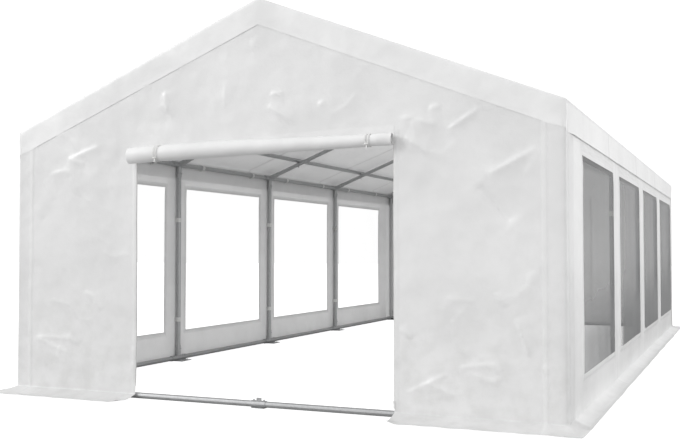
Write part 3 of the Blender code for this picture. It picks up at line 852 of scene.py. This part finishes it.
# Bolts through the sleeves, wing nuts under the purlins, ground bolts through the foot plates
def addFixings(name, material):
    look = fixingShape
    shape = bmesh.new()
    legX, joint, rail, along = tent["legX"], tent["eaveJoint"], tent["railZ"], look["along"]
    pitch = tent["pitch"]
    for side in (-1, 1):
        inward = (-side, 0, 0)
        uphill = Vector((-side * math.cos(pitch), 0, math.sin(pitch)))
        for number, y in enumerate(tent["frames"]):
            inside = [way for way in (-1, 1) if abs(y + way * along) < tent["endY"]]
            socket = side * (legX - tent["socket"] / 2 + 0.0004)
            addFixing(shape, (socket, y, joint - along), inward)
            addFixing(shape, (socket, y, rail + along), inward)
            front = 1 if number == 0 else -1
            foot = Vector((side * legX, y, joint)) + uphill * along
            addFixing(shape, foot + Vector((0, front * (tent["socket"] / 2 - 0.0004), 0)), (0, front, 0))
            under = Vector((-side * math.sin(pitch), 0, -math.cos(pitch)))
            crossing = Vector((side * tent["purlinX"], y, float(roofLine(tent["purlinX"], 0.0666))))
            addFixing(shape, crossing + under * (tent["tube"] / 2 - 0.0004), under, winged=True)
            for way in inside:
                sleeve = side * (legX - tent["sleeve"] / 2 + 0.0004)
                addFixing(shape, (sleeve, y + way * along, joint), inward)
                low = Vector((-side, 0, 1)).normalized() * (tent["sleeve"] / 2 - 0.0004)
                addFixing(shape, Vector((side * legX, y + way * along, rail)) + low, low)
                addFixing(shape, (side * (legX - 0.072), y + way * 0.05, 0.0056), (0, 0, 1))
        for y in (-tent["endY"], tent["endY"]):
            for x in (legX - along, 0.038):
                addFixing(shape, (side * x, y, rail + tent["socket"] / 2 - 0.0006), (0, 0, 1))
    addPiece(name, shape, material, 35)


plateShape = dict(reach=0.135, drop=0.052, thick=0.0025, stand=0.0222)


# Pressed plates join the rafters under the ridge, bolted on both sides
def addRidgePlates(name, material, zinc):
    look = plateShape
    joint, rise = tent["ridgeJoint"], math.tan(tent["pitch"])
    half = tent["tube"] / 2 * 0.9
    shape, bolts = bmesh.new(), bmesh.new()
    for number, y in enumerate(tent["frames"]):
        for way in (-1, 1):
            if (number == 0 and way < 0) or (number == 4 and way > 0):
                continue
            outline = [(0, half), (-look["reach"], half - look["reach"] * rise), (-look["reach"] * 1.06, -half - look["reach"] * rise),
                       (-0.05, -look["drop"]), (0.05, -look["drop"]), (look["reach"] * 1.06, -half - look["reach"] * rise),
                       (look["reach"], half - look["reach"] * rise)]
            flat = shape.faces.new([shape.verts.new((x, y + way * look["stand"], joint + z)) for x, z in outline])
            pulled = bmesh.ops.extrude_face_region(shape, geom=[flat])["geom"]
            moved = [part for part in pulled if isinstance(part, bmesh.types.BMVert)]
            bmesh.ops.translate(shape, verts=moved, vec=(0, way * look["thick"], 0))
            for x in (-0.105, -0.045, 0.045, 0.105):
                addFixing(bolts, (x, y + way * (look["stand"] + look["thick"] - 0.0003), joint - abs(x) * rise), (0, way, 0))
    bmesh.ops.recalc_face_normals(shape, faces=shape.faces)
    bmesh.ops.bevel(shape, geom=[edge for edge in shape.edges if edge.calc_face_angle(0) > 1], offset=0.0007, segments=2,
                    profile=0.5, affect="EDGES", material=-1)
    addPiece(name, shape, material, 35)
    addPiece(name + "Bolts", bolts, zinc, 35)


studio = dict(eye=(3.0082, -9.5719, 1.0469), yaw=0.40887, pitch=0.0331, focal=943.35, sky=0.93, backdrop=1.06,
              floorWhite=0.44, floorLit=0.05, floorSeen=0.95, key=1.40, keyFrom=(-0.75, -0.50, 0.43), keySoft=0.40,
              side=380, sideFrom=(13.0, -3.0, 3.6))


def addCamera():
    lens = bpy.data.cameras.new("eye")
    lens.sensor_width = 36.0
    lens.lens = studio["focal"] * 36.0 / 680
    camera = bpy.data.objects.new("eye", lens)
    camera.location = studio["eye"]
    camera.rotation_euler = (math.pi / 2 + studio["pitch"], 0.0, studio["yaw"])
    bpy.context.scene.collection.objects.link(camera)
    bpy.context.scene.camera = camera


def addLight(name, light, place, aim):
    lamp = bpy.data.objects.new(name, light)
    lamp.location = place
    lamp.rotation_euler = (Vector(aim) - Vector(place)).to_track_quat("-Z", "Y").to_euler()
    bpy.context.scene.collection.objects.link(lamp)


# A pale room: the backdrop and floor look a little brighter than the light they give
def addStudio():
    world = bpy.data.worlds.new("sky")
    world.use_nodes = True
    sky = world.node_tree.nodes["Background"]
    lit = world.node_tree.nodes.new("ShaderNodeLightPath")
    level = world.node_tree.nodes.new("ShaderNodeMapRange")
    level.inputs["To Min"].default_value = studio["sky"]
    level.inputs["To Max"].default_value = studio["backdrop"]
    world.node_tree.links.new(lit.outputs["Is Camera Ray"], level.inputs["Value"])
    world.node_tree.links.new(level.outputs["Result"], sky.inputs["Strength"])
    sky.inputs["Color"].default_value = (1, 1, 1, 1)
    bpy.context.scene.world = world
    bpy.context.scene.view_settings.view_transform = "Standard"
    shape = bmesh.new()
    bmesh.ops.create_grid(shape, x_segments=1, y_segments=1, size=60.0)
    bmesh.ops.translate(shape, verts=shape.verts, vec=(0, 0, -0.0005))
    mesh = bpy.data.meshes.new("floor")
    shape.to_mesh(mesh)
    shape.free()
    floor = bpy.data.objects.new("floor", mesh)
    bpy.context.scene.collection.objects.link(floor)
    shade = Shade("paleFloor")
    glow = shade.tones(shade.node("LightPath"), [studio["floorLit"]] * 3, [studio["floorSeen"]] * 3)
    mesh.materials.append(shade.finish(shade.node("BsdfPrincipled", None, {
        "Base Color": (*[studio["floorWhite"]] * 3, 1), "Roughness": 0.9, "Specular IOR Level": 0.1,
        "Emission Color": glow, "Emission Strength": 1.0})))
    key = bpy.data.lights.new("key", "SUN")
    key.energy, key.angle = studio["key"], studio["keySoft"]
    addLight("key", key, Vector(studio["keyFrom"]) * 15, (0, 0, 0))
    panel = bpy.data.lights.new("sidePanel", "AREA")
    panel.energy, panel.size = studio["side"], 6.0
    addLight("sidePanel", panel, studio["sideFrom"], (2, 0, 1.0))


addCamera()
addStudio()
print("camera and studio made")

steel = steelMaterial("galvanisedTube", tubeLook)
zinc = steelMaterial("zincFixing", zincLook)
for name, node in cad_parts.items():
    if name.startswith(("leg", "rafter", "eaves", "roof_purlin", "ridge", "ground")):
        node.data.materials.clear()
        node.data.materials.append(steel)
addFixings("frameFixings", zinc)
addRidgePlates("ridgePlates", steel, zinc)
print("frame finished")

gableReach, sideReach = footLength(wallShape["gableOut"]), footLength(wallShape["sideOut"])
gableSeams = [("absU", *wallShape["seam"]), ("v", -gableReach - 0.02, -gableReach + wallShape["hem"])]
sideSeams = [("u", y - 0.015, y + 0.015) for y in tent["frames"][1:4]] + [("v", -sideReach - 0.02, -sideReach + wallShape["hem"])]
roofSeams = [("v", seam - roofShape["seamHalf"], seam + roofShape["seamHalf"]) for seam in roofShape["seams"]]
flapHem, roofSide = roofShape["sideHem"] - wallShape["foot"], roofRun()[2]
# painted shade on the long walls: less light through behind the roof flap, beside each post and towards the ground
sideShadeDims = [("v", flapHem - 0.004, flapHem + 0.004, 0.25), ("post", 0.156, 0.148, 0.5), ("v", 0.35, -0.02, 0.4)]
# painted shade on the roof: less light through its flaps, towards the eaves and beside each rafter
roofShadeDims = [("absU", roofSide - 0.004, roofSide + 0.004, 0.25), ("absV", tent["roofY"] - 0.004, tent["roofY"] + 0.004, 0.25),
            ("absU", 0.9, 2.1, 0.6), ("rafter", 0.24, 0.03, 0.75)]
gableCloth = clothMaterial("gableSheet", 0.22, gableSeams, soiled=0.62, soilTop=1.4, lines=0.06)
sideCloth = clothMaterial("sideSheet", 0.24, sideSeams, sideShadeDims, framed=True)
roofCloth = clothMaterial("roofSheet", 0.35, roofSeams, roofShadeDims)
# The rolled door is the gables' sheet painted a little darker: painted shade on the roll's lit top. It is also rougher,
# without coat
shadedRollCloth = clothMaterial("shadedRolledSheet", 0.10, white=(0.86, 0.86, 0.86), worn=(0.81, 0.81, 0.81), rough=0.5, coat=0.0)
film = filmMaterial("windowFilm")
webbing = webbingMaterial("whiteWebbing", 0.0024, 0.5)
teethCloth = webbingMaterial("zipTeeth", 0.0030, 0.9)
whitePlastic = plasticMaterial("whitePlastic", (0.78, 0.78, 0.77))

frontWall = addGableWall("frontWall", -1, "front_wall", frontFolds, 1.0, wallShape["cell"], gableCloth)
rearWall = addGableWall("rearWall", 1, "rear_wall", rearFolds, 2.0, 0.017, gableCloth)
rearDoor = addRearDoor("rearDoor", 1, "rear_door", rearFolds, 2.0, 0.017, gableCloth)
declareSheet(frontWall)
declareSheet(rearWall)
declareSheet(rearDoor)
for sideName, side in (("left", -1), ("right", 1)):
    wall = addSideWall(f"{sideName}Wall", side, f"{sideName}_wall", sideCloth)
    declareSheet(wall)
    for number, y in enumerate(tent["windows"], 1):
        pane = addFilm(f"{sideName}Film{number}", side, y, f"window_{sideName}_{number}", film)
        declareSheet(pane)
    addLoops(f"{sideName}Loops", side, webbing)
print("walls and windows hung")

addZips("frontZip", -1, frontFolds, 1.0, -0.0040, 0.0055, webbing, teethCloth, whitePlastic)
addZips("rearZip", 1, rearFolds, 2.0, 0.0022, 0.0, webbing, teethCloth, whitePlastic)
addRearTies("rearTies", rearFolds, 2.0, webbing, whitePlastic)
print("zips and rear ties sewn on")

roofCover = addRoof("roofCover", "roof_cover", roofCloth)
declareSheet(roofCover)
print("roof cover laid")

rolledDoor = addRoll("rolledDoor", "front_door", shadedRollCloth)
declareSheet(rolledDoor)
addRollTies("rollTies", webbing, whitePlastic)
print("door rolled up")
